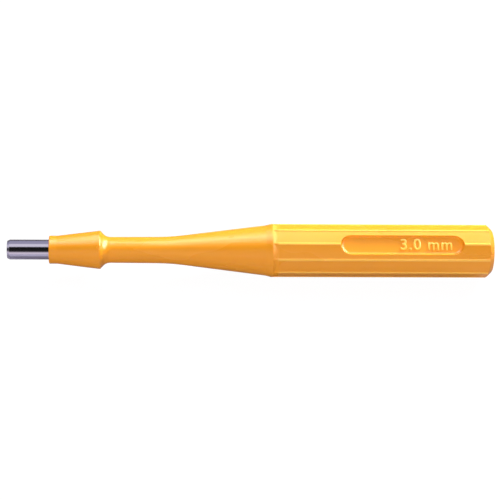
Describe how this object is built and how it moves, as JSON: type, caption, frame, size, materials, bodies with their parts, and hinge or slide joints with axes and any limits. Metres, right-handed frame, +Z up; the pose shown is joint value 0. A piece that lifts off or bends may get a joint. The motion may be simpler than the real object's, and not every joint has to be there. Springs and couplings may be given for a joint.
{
  "type": "biopsy punch",
  "caption": "Skin biopsy punch: a short steel tube blade set in the cone-shaped nose of a slim, hollow plastic handle with a ribbed grip.",
  "frame": {"origin": "under the middle of the tool, on the surface that it lies on", "axes": "+X runs along the tool from the cutting edge to the open rear end, +Z is up, and the sunk label panel faces up and a little towards -Y"},
  "size_m": [0.0852, 0.0094, 0.0094],
  "materials": {
    "handle_plastic": "glossy moulded, yellow-orange",
    "blade_steel": "bright drawn tube"
  },
  "bodies": {
    "root": {"handle": "handle_plastic", "blade": "blade_steel"}
  },
  "joints": []
}
